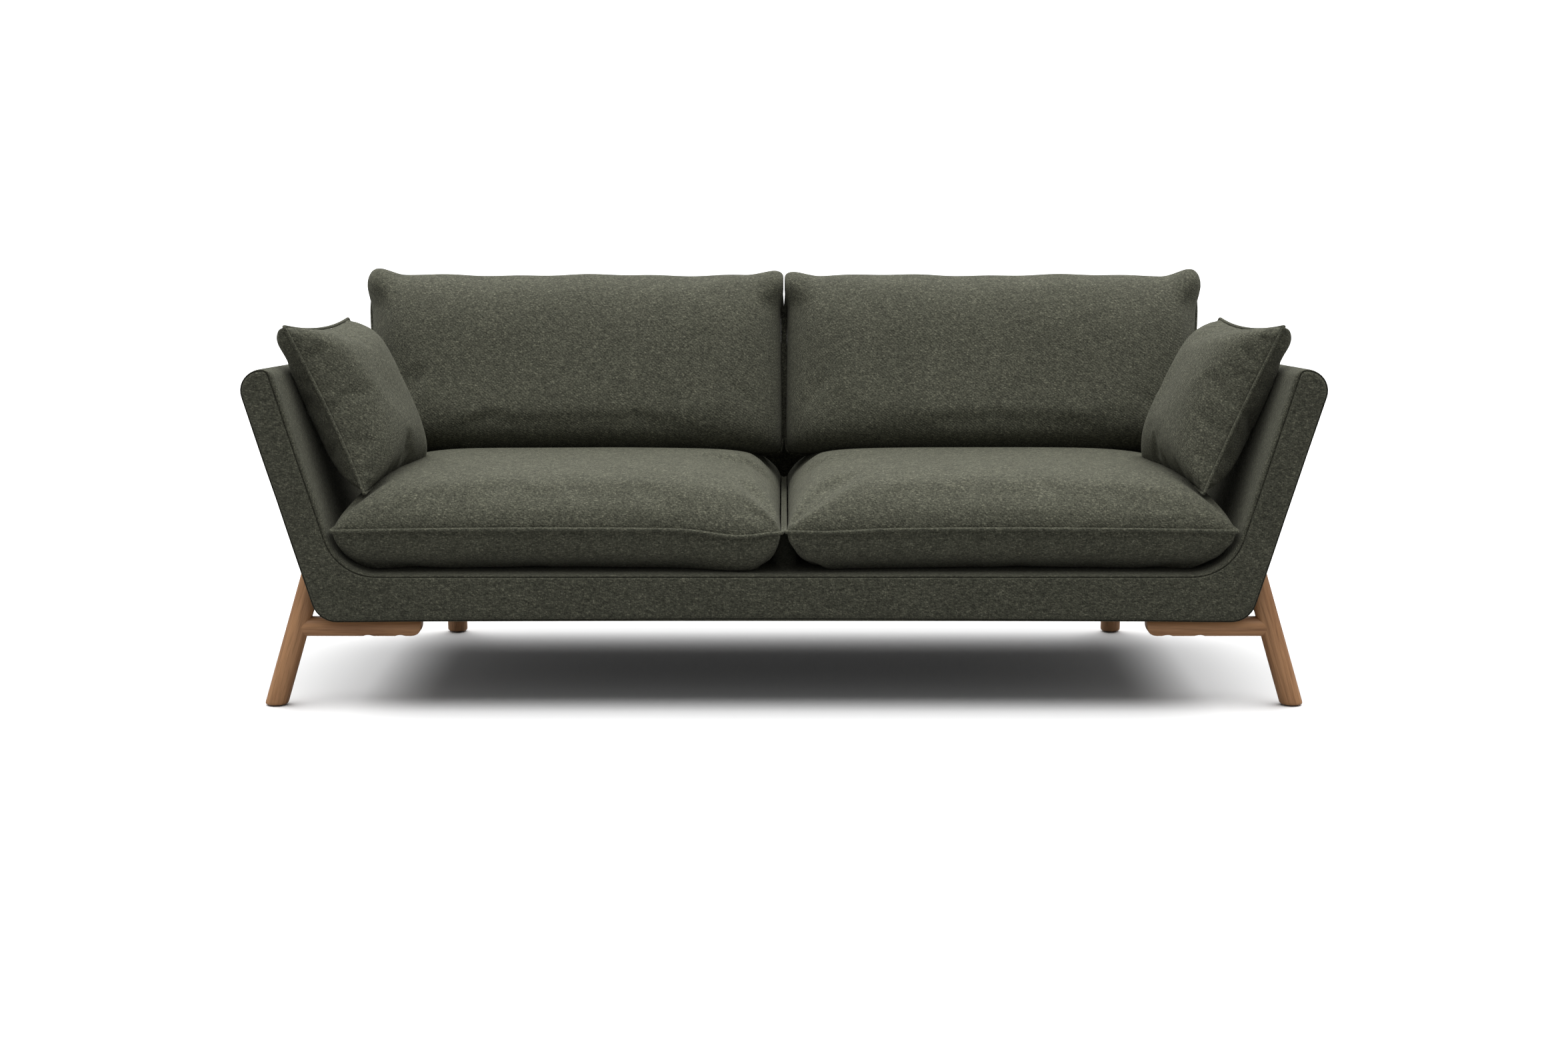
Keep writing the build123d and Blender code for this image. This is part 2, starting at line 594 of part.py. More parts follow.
# ---- cushions ----
def zip_split(outer, core, zip_space):
    """Cover, filling and zip of one cushion, from its outer form and where the zip runs."""
    skin = outer - core
    chain = skin & zip_space
    return skin - zip_space, core, chain


def seat_form(inset):
    """Right seat cushion: rounded, its outer end following the arm."""
    grow = (CLEARANCE + inset) * LEAN
    low, high, end_high = DECK_TOP + CLEARANCE + inset, SEAT_TOP - inset, SEAT_END_TOP - inset
    inner = MIDDLE_GAP + inset
    end, shoulder, inner_top = SEAT_END_RADII
    across = cross_prism(
        [(inner, low), (inner_x(low) - grow, low), (inner_x(end_high) - grow, end_high),
         (SEAT_CROWN_X, high), (inner, high)],
        [end - inset, R_INNER_FOOT - CLEARANCE - inset, end - inset, shoulder, inner_top - inset],
        SEAT_FRONT_Y + inset, SEAT_REAR_Y - inset)
    along = side_prism(
        [(SEAT_FRONT_Y + inset, low), (SEAT_REAR_Y - inset, low),
         (SEAT_REAR_Y - inset, high), (SEAT_FRONT_Y + inset, high)],
        [radius - inset for radius in SEAT_SIDE_RADII])
    return across & along


def back_cushion_form(inset):
    """Right back cushion, leaning on the back and standing on the seat cushion."""
    low, high = BACK_BOTTOM + inset, BACK_TOP - inset
    ends_high = high + 5.0    # above the side view's top, so no two faces share it
    across = cross_prism(
        [(MIDDLE_GAP + inset, low), (BACK_CUSHION_X_LOW - inset, low),
         (BACK_CUSHION_X_HIGH - inset, ends_high), (MIDDLE_GAP + inset, ends_high)],
        [radius - inset for radius in BACK_FACE_RADII], BACK_FRONT_Y - CLEARANCE, rear_y(high))
    rear_gap = BACK_THICKNESS + BACK_CUSHION_REAR_GAP + inset
    along = side_prism(
        [(BACK_FRONT_Y + inset, low), (rear_y(low) - rear_gap, low),
         (rear_y(high) - rear_gap, high), (BACK_FRONT_Y + BACK_CUSHION_LEAN + inset, high)],
        [radius - inset for radius in BACK_SIDE_RADII])
    return across & along


scatter_plane = Plane(origin=SCATTER_CENTRE, x_dir=SCATTER_ALONG, z_dir=SCATTER_NORMAL)


def scatter_form(inset):
    """Left scatter cushion: a square pad leaning on the arm."""
    side, depth = SCATTER_SIZE - 2 * inset, SCATTER_THICKNESS - 2 * inset
    pad = fillet(Box(side, side, depth).edges().filter_by(Axis.Z), SCATTER_CORNER - inset)
    return scatter_plane * fillet(
        pad.faces().filter_by(Axis.Z).edges(), SCATTER_THICKNESS / 2 - inset - 1)


zip_half_depth, zip_half_width = ZIP_DEPTH / 2, ZIP_WIDTH / 2
seat_zip = block(*ZIP_XS, SEAT_REAR_Y - zip_half_depth, SEAT_REAR_Y + zip_half_depth,
                 SEAT_ZIP_Z - zip_half_width, SEAT_ZIP_Z + zip_half_width)
back_zip = block(*ZIP_XS, BACK_ZIP_Y - zip_half_width, BACK_ZIP_Y + zip_half_width,
                 BACK_BOTTOM - zip_half_depth, BACK_BOTTOM + zip_half_depth)
scatter_zip = scatter_plane * Pos(0, -SCATTER_SIZE / 2, 0) * Box(
    SCATTER_ZIP_LENGTH, ZIP_DEPTH, ZIP_WIDTH)

cushions = {
    "seat": zip_split(seat_form(0), seat_form(CUSHION_SKIN), seat_zip),
    "back": zip_split(back_cushion_form(0), back_cushion_form(CUSHION_SKIN), back_zip),
    "scatter": zip_split(flip(scatter_form(0)), flip(scatter_form(CUSHION_SKIN)), flip(scatter_zip)),
}

# ---- nodes ----
single = {
    "front_rail": [front_rail],
    "rear_rail": [rear_rail],
    "center_rail": [center_rail],
    "back_top_rail": [back_top_rail],
    "back_posts": [back_post(x) for x in POST_XS],
    "back_webbing": [webbing_strap(i) for i in range(WEBBING_COUNT)],
    "corner_blocks": [corner_block(sx, y, sy) for sx in (-1, 1)
                      for y, sy in ((inside_front, 1), (inside_rear, -1))],
    "front_leg_blocks": both_sides(front_leg_block),
    "rear_leg_blocks": both_sides(rear_leg_block),
    "seat_springs": seat_springs,
    "spring_clips": spring_clips,
    "front_pad": [front_pad],
    "back_pad": [back_pad],
    "inner_corner_pads": both_sides(corner_pad),
    "deck_pad": [deck_pad],
    "deck_cloth": [deck_cloth],
    "dust_cover": [dust_cover],
    "front_facing_cover": [front_facing_cover],
    "inside_back_cover": [inside_back_cover],
    "outside_back_cover": [outside_back_cover],
    "crossbar_tenons": both_sides(tenon),
    "crossbar_bolts": bar_bolts + [flip(b) for b in bar_bolts],
    "crossbar_washers": bar_washers + [flip(w) for w in bar_washers],
    "crossbar_tee_nuts": tee_nuts + [flip(t) for t in tee_nuts],
    "leg_head_bolts": both_sides(leg_head_bolt),
    "leg_head_inserts": both_sides(leg_insert),
    "rear_leg_plates": both_sides(rear_plate),
    "rear_plate_screws": plate_screws + [flip(s) for s in plate_screws],
    "rear_hanger_bolts": both_sides(hanger_bolt),
    "floor_glides": both_sides(front_glide) + both_sides(rear_glide),
}
paired = {
    "side_panel": panel,
    "arm_pad": arm_pad,
    "arm_cover": arm_cover,
    "front_leg": front_leg,
    "front_crossbar": bar,
    "rear_leg": rear_leg,
}
for name, (cover, core, chain) in cushions.items():
    paired[f"{name}_cushion_cover"] = cover
    paired[f"{name}_cushion_core"] = core
    paired[f"{name}_cushion_zip"] = chain


def write_node(name, shapes):
    solids = [solid for shape in shapes for solid in shape.solids()]
    export_step(Compound(children=solids), f"parts/{name}.step")


for name, shapes in single.items():
    write_node(name, shapes)
for name, shape in paired.items():
    write_node(f"{name}_right", [shape])
    write_node(f"{name}_left", [flip(shape)])
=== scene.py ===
"""Looks of the sofa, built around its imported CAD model. Metres, +Z up, front towards -Y."""
import json
import math

import bmesh
import bpy
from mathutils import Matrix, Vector, noise


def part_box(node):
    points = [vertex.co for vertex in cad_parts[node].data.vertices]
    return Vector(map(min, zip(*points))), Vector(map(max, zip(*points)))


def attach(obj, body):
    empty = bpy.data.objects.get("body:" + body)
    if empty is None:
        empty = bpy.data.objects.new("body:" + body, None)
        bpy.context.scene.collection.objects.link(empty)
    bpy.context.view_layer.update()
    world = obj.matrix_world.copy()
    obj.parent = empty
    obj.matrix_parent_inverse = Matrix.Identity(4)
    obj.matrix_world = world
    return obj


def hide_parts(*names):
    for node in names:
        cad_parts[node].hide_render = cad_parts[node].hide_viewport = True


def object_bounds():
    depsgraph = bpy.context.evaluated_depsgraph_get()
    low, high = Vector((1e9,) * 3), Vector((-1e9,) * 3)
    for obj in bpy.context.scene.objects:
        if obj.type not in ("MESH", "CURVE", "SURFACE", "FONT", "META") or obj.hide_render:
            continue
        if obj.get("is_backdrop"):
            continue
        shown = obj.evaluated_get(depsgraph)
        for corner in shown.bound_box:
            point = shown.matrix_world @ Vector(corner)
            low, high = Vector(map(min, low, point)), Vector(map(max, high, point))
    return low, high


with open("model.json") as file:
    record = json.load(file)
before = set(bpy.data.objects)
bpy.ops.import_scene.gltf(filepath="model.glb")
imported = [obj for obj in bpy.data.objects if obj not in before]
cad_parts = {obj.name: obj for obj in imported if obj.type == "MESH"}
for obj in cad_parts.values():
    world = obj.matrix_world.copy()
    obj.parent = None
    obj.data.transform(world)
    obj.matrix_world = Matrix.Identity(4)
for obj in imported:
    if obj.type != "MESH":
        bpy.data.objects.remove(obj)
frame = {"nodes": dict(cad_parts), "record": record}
cad_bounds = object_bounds()
scene = bpy.context.scene
SIDES = {"left": -1, "right": 1}
MM = 0.001


# ---------------------------------------------------------------- camera and light
CAMERA_DISTANCE = 5.28
CAMERA_HEIGHT = 1.129
CAMERA_PITCH = math.radians(8.826)
CAMERA_LENS = 57.48
SENSOR_WIDTH = 36.0
SKY_TO_CAMERA = 1.2           # the background, whiter than white
SKY_LIGHT = 0.32              # what the same sky gives as light
SUN_STRENGTH = 5.2
SUN_WIDTH = math.radians(95)  # a very wide lamp, for soft shadows
SUN_TILT = math.radians(-10)
FLOOR_TO_CAMERA = 0.94
FLOOR_TO_BOUNCES = 0.35
FLOOR_REACH = 60.0


def make_camera():
    data = bpy.data.cameras.new("camera")
    data.lens = CAMERA_LENS
    data.sensor_width = SENSOR_WIDTH
    camera = bpy.data.objects.new("camera", data)
    camera.location = (0, -CAMERA_DISTANCE, CAMERA_HEIGHT)
    camera.rotation_euler = (math.radians(90) - CAMERA_PITCH, 0, 0)
    scene.collection.objects.link(camera)
    scene.camera = camera


def grey(value):
    return value, value, value


def floor_paint():
    """White to the camera, but a darker grey to bounced light, as on a lit studio sweep."""
    paint = bpy.data.materials.new("floor_paint")
    paint.use_nodes = True
    nodes, links = paint.node_tree.nodes, paint.node_tree.links
    shader = nodes["Principled BSDF"]
    mix = nodes.new("ShaderNodeMix")
    mix.data_type = "RGBA"
    mix.inputs[6].default_value = (*grey(FLOOR_TO_BOUNCES), 1)
    mix.inputs[7].default_value = (*grey(FLOOR_TO_CAMERA), 1)
    links.new(nodes.new("ShaderNodeLightPath").outputs["Is Camera Ray"], mix.inputs[0])
    links.new(mix.outputs[2], shader.inputs["Base Color"])
    shader.inputs["Roughness"].default_value = 1.0
    shader.inputs["Specular IOR Level"].default_value = 0.0
    return paint


def make_studio():
    world = bpy.data.worlds.new("studio")
    world.use_nodes = True
    nodes, links = world.node_tree.nodes, world.node_tree.links
    strength = nodes.new("ShaderNodeMapRange")
    strength.inputs["To Min"].default_value = SKY_LIGHT
    strength.inputs["To Max"].default_value = SKY_TO_CAMERA
    links.new(nodes.new("ShaderNodeLightPath").outputs["Is Camera Ray"], strength.inputs["Value"])
    links.new(strength.outputs["Result"], nodes["Background"].inputs["Strength"])
    nodes["Background"].inputs["Color"].default_value = (1.0, 1.0, 1.0, 1.0)
    scene.world = world
    scene.view_settings.view_transform = "Standard"
    data = bpy.data.lights.new("top_light", "SUN")
    data.energy = SUN_STRENGTH
    data.angle = SUN_WIDTH
    lamp = bpy.data.objects.new("top_light", data)
    lamp.rotation_euler = (SUN_TILT, 0, 0)
    scene.collection.objects.link(lamp)
    mesh = bpy.data.meshes.new("floor")
    corners = [(x * FLOOR_REACH, y * FLOOR_REACH, 0) for x, y in ((-1, -1), (1, -1), (1, 1), (-1, 1))]
    mesh.from_pydata(corners, [], [(0, 1, 2, 3)])
    floor = bpy.data.objects.new("floor", mesh)
    scene.collection.objects.link(floor)
    mesh.materials.append(floor_paint())
    floor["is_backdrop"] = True


# ---------------------------------------------------------------- materials
class Nodes:
    """A material's node tree, with short ways to add and link nodes."""

    def __init__(self, name):
        self.material = bpy.data.materials.new(name)
        self.material.use_nodes = True
        self.tree = self.material.node_tree
        self.shader = self.tree.nodes["Principled BSDF"]

    def add(self, kind, links=(), **values):
        node = self.tree.nodes.new(kind)
        for key, value in values.items():
            if key in node.inputs:
                node.inputs[key].default_value = value
            else:
                setattr(node, key, value)
        for socket, source in dict(links).items():
            self.link(source, node.inputs[socket])
        return node

    def link(self, source, socket):
        self.tree.links.new(source, socket)

    def place(self, scale=(1, 1, 1), rotation=(0, 0, 0)):
        """Object coordinates, turned and then scaled."""
        where = self.add("ShaderNodeTexCoord").outputs["Object"]
        turned = self.add("ShaderNodeMapping", {"Vector": where}, Rotation=rotation)
        return self.add("ShaderNodeMapping", {"Vector": turned.outputs[0]}, Scale=scale).outputs[0]

    def noise(self, where, scale, detail=2.0, roughness=0.5, distortion=0.0):
        return self.add("ShaderNodeTexNoise", {"Vector": where}, Scale=scale, Detail=detail,
                        Roughness=roughness, Distortion=distortion).outputs["Fac"]

    def ramp(self, source, stops):
        ramp = self.add("ShaderNodeValToRGB", {"Fac": source})
        elements = ramp.color_ramp.elements
        while len(elements) < len(stops):
            elements.new(0.5)
        for element, (position, color) in zip(elements, stops):
            element.position = position
            element.color = (*color, 1)
        return ramp.outputs["Color"]

    def mix(self, kind, factor, first, second):
        mix = self.tree.nodes.new("ShaderNodeMix")
        mix.data_type = "RGBA"
        mix.blend_type = kind
        for socket, value in ((mix.inputs[0], factor), (mix.inputs[6], first), (mix.inputs[7], second)):
            if isinstance(value, (int, float)):
                socket.default_value = value
            elif isinstance(value, tuple):
                socket.default_value = (*value, 1)
            else:
                self.link(value, socket)
        return mix.outputs[2]

    def bump(self, height, strength, distance, normal=None):
        links = {"Height": height}
        if normal:
            links["Normal"] = normal
        return self.add("ShaderNodeBump", links, Strength=strength, Distance=distance).outputs[0]


def fabric(name, dark, middle, light, painted_shade_factor=1.0):
    """Melange wool cloth: mixed dark and pale yarns in a coarse slanting weave."""
    n = Nodes(name)
    across = n.noise(n.place(scale=(0.40, 1.0, 1.0)), 430, detail=3, roughness=0.75)
    upright = n.noise(n.place(scale=(1.0, 0.6, 0.40)), 380, detail=3, roughness=0.75)
    tone = n.noise(n.place(), 14, detail=3)
    cloth = n.ramp(across, [(0.34, dark), (0.48, middle), (0.54, middle), (0.68, light)])
    threads = n.ramp(upright, [(0.36, grey(0.25)), (0.64, grey(0.75))])
    cloth = n.mix("OVERLAY", 0.6, cloth, threads)
    # random tone patches, times a factor below 1 that darkens the whole cloth as painted shade
    patches_and_painted_shade = n.ramp(tone, [(0.3, grey(0.92 * painted_shade_factor)), (0.7, grey(1.04 * painted_shade_factor))])
    cloth = n.mix("MULTIPLY", 1.0, cloth, patches_and_painted_shade)
    fleck = n.noise(n.place(scale=(0.6, 1.0, 1.0)), 115, detail=2, roughness=0.6)
    flecks = n.ramp(fleck, [(0.35, grey(0.84)), (0.65, grey(1.16))])
    cloth = n.mix("MULTIPLY", 1.0, cloth, flecks)
    n.link(cloth, n.shader.inputs["Base Color"])
    twill = n.add("ShaderNodeTexWave", {"Vector": n.place(rotation=(0.7, 0.6, 0.8))}, wave_type="BANDS",
                  Scale=72.0, Distortion=6.0, Detail=2.0)
    weave = n.bump(twill.outputs["Fac"], 0.35, 0.0010)
    n.link(n.bump(across, 0.6, 0.0016, weave), n.shader.inputs["Normal"])
    n.shader.inputs["Roughness"].default_value = 0.95
    n.shader.inputs["Specular IOR Level"].default_value = 0.12
    n.shader.inputs["Sheen Weight"].default_value = 0.12
    n.shader.inputs["Sheen Roughness"].default_value = 0.6
    n.shader.inputs["Sheen Tint"].default_value = (0.75, 0.75, 0.62, 1)
    return n.material


def wood(name, dark, light, tilt, roughness=0.45, scale=1.0):
    """Fine straight grain. tilt turns the wood's length onto the texture's Z axis."""
    n = Nodes(name)
    along = n.place(scale=(1.0, 1.0, 0.055), rotation=tilt)
    figure = n.noise(along, 55 * scale, detail=5, roughness=0.6, distortion=0.8)
    pores = n.noise(n.place(scale=(1.0, 1.0, 0.03), rotation=tilt), 520 * scale, detail=2, roughness=0.7)
    color = n.ramp(figure, [(0.32, dark), (0.62, light)])
    color = n.mix("MULTIPLY", 0.55, color, n.ramp(pores, [(0.36, grey(0.62)), (0.5, grey(1.0))]))
    n.link(color, n.shader.inputs["Base Color"])
    rough = n.ramp(pores, [(0.3, grey(roughness + 0.2)), (0.6, grey(roughness))])
    n.link(rough, n.shader.inputs["Roughness"])
    n.link(n.bump(pores, 0.2, 0.0004), n.shader.inputs["Normal"])
    return n.material


def grained(name, color, vary, scale, roughness, metallic=0.0, depth=0.0003):
    """A plain finish with some speckle in colour and surface."""
    n = Nodes(name)
    grain = n.noise(n.place(), scale, detail=3)
    low = tuple(c * (1 - vary) for c in color)
    high = tuple(min(1.0, c * (1 + vary)) for c in color)
    n.link(n.ramp(grain, [(0.3, low), (0.7, high)]), n.shader.inputs["Base Color"])
    n.link(n.bump(grain, 0.3, depth), n.shader.inputs["Normal"])
    n.shader.inputs["Roughness"].default_value = roughness
    n.shader.inputs["Metallic"].default_value = metallic
    return n.material


DARK_YARN = (0.026, 0.027, 0.019)
MIDDLE_YARN = (0.066, 0.067, 0.049)
PALE_YARN = (0.17, 0.168, 0.122)
WOOD_DARK = (0.27, 0.122, 0.048)
WOOD_LIGHT = (0.48, 0.248, 0.112)
LENGTHWAYS = (0, math.radians(90), 0)         # grain along X


def make_materials():
    return {
        # the shell's copy of the same cloth is darkened as painted shade for its upright faces
        "shell_fabric": fabric("shell_fabric", DARK_YARN, MIDDLE_YARN, PALE_YARN, painted_shade_factor=0.86),
        "cushion_fabric": fabric("cushion_fabric", DARK_YARN, MIDDLE_YARN, PALE_YARN),
        "lining_cloth": grained("lining_cloth", (0.02, 0.02, 0.018), 0.3, 700, 0.95),
        "filling": grained("filling", (0.8, 0.78, 0.72), 0.06, 90, 0.9, depth=0.002),
        "foam": grained("foam", (0.82, 0.74, 0.5), 0.08, 400, 0.95, depth=0.001),
        "webbing": grained("webbing", (0.10, 0.09, 0.08), 0.35, 450, 0.9, depth=0.0006),
        "zip_tape": grained("zip_tape", (0.03, 0.03, 0.026), 0.4, 500, 0.6),
        "frame_timber": wood("frame_timber", (0.42, 0.27, 0.15), (0.62, 0.44, 0.27), LENGTHWAYS,
                             0.7, 0.6),
        "plywood": wood("plywood", (0.5, 0.35, 0.2), (0.66, 0.5, 0.32), LENGTHWAYS, 0.7, 0.4),
        "leg_wood": wood("leg_wood", WOOD_DARK, WOOD_LIGHT, (0, 0, 0)),
        "spring_steel": grained("spring_steel", (0.3, 0.3, 0.31), 0.15, 250, 0.35, metallic=1.0),
        "fixing_steel": grained("fixing_steel", (0.55, 0.55, 0.56), 0.1, 250, 0.3, metallic=1.0),
        "glide_nylon": grained("glide_nylon", (0.07, 0.06, 0.05), 0.2, 350, 0.5),
    }


# ---------------------------------------------------------------- mesh helpers
def make_object(name, vertices, faces, materials, smooth=True):
    mesh = bpy.data.meshes.new(name)
    mesh.from_pydata([tuple(v) for v in vertices], [], faces)
    mesh.update()
    for material in materials:
        mesh.materials.append(material)
    obj = bpy.data.objects.new(name, mesh)
    scene.collection.objects.link(obj)
    fix_normals(mesh)
    for polygon in mesh.polygons:
        polygon.use_smooth = smooth
    return obj


def fix_normals(mesh):
    work = bmesh.new()
    work.from_mesh(mesh)
    bmesh.ops.recalc_face_normals(work, faces=work.faces)
    work.to_mesh(mesh)
    work.free()


LEAST_RADIUS = 0.1 * MM


def rounded(points, radii, arc_steps, runs):
    """A closed outline with rounded corners. runs gives the steps along each straight side."""
    count = len(points)
    corners = []
    for i in range(count):
        here = Vector(points[i])
        back = (Vector(points[i - 1]) - here).normalized()
        ahead = (Vector(points[(i + 1) % count]) - here).normalized()
        half = back.angle(ahead) / 2
        radius = max(radii[i], LEAST_RADIUS)
        centre = here + (back + ahead).normalized() * (radius / math.sin(half))
        start = here + back * (radius / math.tan(half)) - centre
        end = here + ahead * (radius / math.tan(half)) - centre
        first = math.atan2(start.y, start.x)
        turn = (math.atan2(end.y, end.x) - first + math.pi) % (2 * math.pi) - math.pi
        angles = [first + turn * step / arc_steps for step in range(arc_steps + 1)]
        corners.append([centre + Vector((math.cos(a), math.sin(a))) * radius for a in angles])
    outline = []
    for i, arc in enumerate(corners):
        outline += arc
        following = corners[(i + 1) % count][0]
        outline += [arc[-1].lerp(following, s / runs[i]) for s in range(1, runs[i])]
    return outline


def skin_rings(rings, close_first=True):
    """Vertices, and faces between rings of equal length, with a flat end or two."""
    size = len(rings[0])
    faces = []
    for r in range(len(rings) - 1):
        for i in range(size):
            j = (i + 1) % size
            faces.append((r * size + i, r * size + j, (r + 1) * size + j, (r + 1) * size + i))
    if close_first:
        faces.append(tuple(range(size)))
    start = (len(rings) - 1) * size
    faces.append(tuple(range(start, start + size)))
    return [v for ring in rings for v in ring], faces


def tube(path, radius, sides=10):
    """A round cord along a closed path of points."""
    rings, count, side = [], len(path), None
    for i, point in enumerate(path):
        run = (path[(i + 1) % count] - path[i - 1]).normalized()
        side = run.orthogonal() if side is None else side - run * side.dot(run)
        side.normalize()
        other = run.cross(side)
        rings.append([point + (side * math.cos(a) + other * math.sin(a)) * radius
                      for a in (2 * math.pi * s / sides for s in range(sides))])
    vertices = [v for ring in rings for v in ring]
    faces = []
    for r in range(count):
        following = (r + 1) % count
        for s in range(sides):
            t = (s + 1) % sides
            faces.append((r * sides + s, r * sides + t, following * sides + t, following * sides + s))
    return vertices, faces


# ---------------------------------------------------------------- shell
shell_low, shell_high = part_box("front_facing_cover")
rear_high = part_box("outside_back_cover")[1]
FRONT_Y = shell_low.y
SHELL_BOTTOM = shell_low.z
DECK_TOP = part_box("deck_cloth")[1].z
ARM_TOP_FRONT = shell_high.z
ARM_TOP_REAR = rear_high.z
ARM_FOOT_X = 861.0 * MM
ARM_SLOPE = 0.307
ARM_WIDTH = 76.0 * MM
LEAN = math.sqrt(1 + ARM_SLOPE ** 2)
REAR_SLOPE = 0.134
REAR_Y = rear_high.y - REAR_SLOPE * (ARM_TOP_REAR - SHELL_BOTTOM)
BACK_THICKNESS = 72.0 * MM
BACK_SWELL = 5.0 * MM
BACK_TUCK = 6.0 * MM          # the inside back's ends lie this far inside the arms
PANEL_THICKNESS = 3.0 * MM    # kept free behind the back's padding
PANEL_PROUD = 3.2             # mm that the outside back swells
R_OUTER_FOOT = 50.0 * MM
R_OUTER_TOP = 42.0 * MM
R_INNER_TOP = 22.0 * MM
R_INNER_FOOT = 95.0 * MM
BASE_ARCH = 5.0 * MM          # how far the base's front edge rises at the middle
UNDER_ARCH = 1.6 * MM         # the same behind the front edge, below the rails
BASE_HALF = 0.84              # the arch's half-width
ARCH_FADE = 50.0 * MM         # the arch dies out this far above the underside
FRONT_EDGE = 7.0              # mm behind the shell's front where the arch gets lower
PUFF = 16.0                   # mm that the front edge is rounded back by its foam
ARM_WAVE = 1.5 * MM           # unevenness of the padding on the arms
# insets of the rear edge's rings, and how far each is before the rear face, in mm
REAR_EDGE = ((0, 9), (0.6, 6), (2, 4), (5, 3.8), (12, 7))
# inset inside, inset outside and distance behind the front, in mm, for the rings of each part
FACING = ((19, 17, -2.4), (16.5, 12, -2.3), (14, 8, -1.8), (12, 5, -0.8), (11, 3.6, 0.6))
SEAM = ((10.4, 2.6, 4.0), (9.2, 2.0, 4.8), (8.0, 1.6, 4.4))
SHOULDER = ((7.4, 1.2, 1.4), (5.6, 0.8, 0.8), (3.2, 0.3, 3.0), (1.0, 0.0, 8.0), (0.0, 0.0, PUFF))


def outer_x(z):
    return ARM_FOOT_X + ARM_SLOPE * z


def inner_x(z):
    return outer_x(z) - ARM_WIDTH


def rear_y(z):
    return REAR_Y + REAR_SLOPE * (z - SHELL_BOTTOM)


def shell_outline(top, inset, outer_inset):
    """The U of the shell as (x, z) points, drawn in by one amount inside and another outside."""
    bottom, high, deck = SHELL_BOTTOM + outer_inset, top - outer_inset, DECK_TOP - 0.45 * inset
    half = [
        (outer_x(bottom) - outer_inset * LEAN, bottom, R_OUTER_FOOT - outer_inset),
        (outer_x(high) - outer_inset * LEAN, high, R_OUTER_TOP - outer_inset),
        (inner_x(high) + inset * LEAN, high, R_INNER_TOP - inset),
        (inner_x(deck) + inset * LEAN, deck, R_INNER_FOOT + inset)]
    other = [(-x, z, radius) for x, z, radius in reversed(half)]
    runs = [22, 2, 16, 44, 16, 2, 22, 44]
    points = [(x, z) for x, z, _ in half + other]
    return rounded(points, [radius for _, _, radius in half + other], 10, runs)


def shell_ring(progress, inset, outer_inset, offset):
    """One ring of the shell. progress runs from 0 at the front to 1 at the rear face."""
    top = ARM_TOP_FRONT + (ARM_TOP_REAR - ARM_TOP_FRONT) * progress
    arch = BASE_ARCH if progress == 0 and offset < FRONT_EDGE else UNDER_ARCH
    ring = []
    for x, z in shell_outline(top, inset * MM, outer_inset * MM):
        if abs(x) < BASE_HALF:
            z += arch * (1 - (x / BASE_HALF) ** 2) * max(0.0, 1 - (z - SHELL_BOTTOM) / ARCH_FADE)
        y = FRONT_Y + (rear_y(z) - FRONT_Y) * progress + offset * MM
        ring.append(Vector((x, y, z)))
    return ring


def make_shell(cloth, underside):
    """Facing panel, seam, arms and base in one skin, puffed a little by its foam."""
    rings = [shell_ring(0, *place) for place in FACING + SEAM + SHOULDER]
    steps = 22
    for step in range(1, steps):
        progress = step / steps
        rings.append(shell_ring(progress, 0, 0, PUFF * (1 - progress)))
    rings += [shell_ring(1, inset, inset, -offset) for inset, offset in REAR_EDGE]
    for ring in rings[len(FACING) + len(SEAM):]:
        for point in ring:
            if abs(point.x) > inner_x(point.z) - 0.02:
                wave = noise.noise(Vector((point.x * 2.2, point.y * 5, point.z * 5)))
                point.x += math.copysign(ARM_WAVE * wave, point.x)
    vertices, faces = skin_rings(rings)
    shell = make_object("shell_upholstery", vertices, faces, [cloth, underside])
    for polygon in shell.data.polygons:
        middle = polygon.center
        faces_down = polygon.normal.z < -0.9 and middle.z < SHELL_BOTTOM + 8 * MM
        if faces_down and middle.y > FRONT_Y + 30 * MM:
            polygon.material_index = 1
    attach(shell, "shell")
    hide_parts("front_facing_cover", "arm_cover_left", "arm_cover_right", "arm_pad_left",
                "arm_pad_right", "inner_corner_pads", "front_pad", "deck_pad", "deck_cloth", "dust_cover")


def back_section(share):
    """The back's padding as an upright slab, cut at a share of its half-width."""
    swell = BACK_SWELL * (1 - share ** 6)
    low, high = DECK_TOP - 10 * MM, ARM_TOP_REAR
    points = [(rear_y(low) - BACK_THICKNESS, low), (rear_y(low) - PANEL_THICKNESS, low),
              (rear_y(high) - PANEL_THICKNESS, high), (rear_y(high) - BACK_THICKNESS, high)]
    outline = rounded(points, [2 * MM, 2 * MM, 20 * MM, 26 * MM], 8, [4, 10, 4, 14])
    ring = []
    for y, z in outline:
        height = (z - low) / (high - low)
        in_front = y < rear_y(z) - BACK_THICKNESS / 2
        forward = swell * math.sin(math.pi * min(1, max(0, height))) if in_front else 0
        half_width = inner_x(z) + BACK_TUCK
        ring.append(Vector((share * half_width, y - forward, z)))
    return ring


def make_back(cloth):
    """Padded inside of the back, between the arms."""
    steps = 60
    vertices, faces = skin_rings([back_section(-1 + 2 * step / steps) for step in range(steps + 1)])
    inside = make_object("inside_back", vertices, faces, [cloth])
    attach(inside, "shell")
    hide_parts("inside_back_cover", "back_pad")


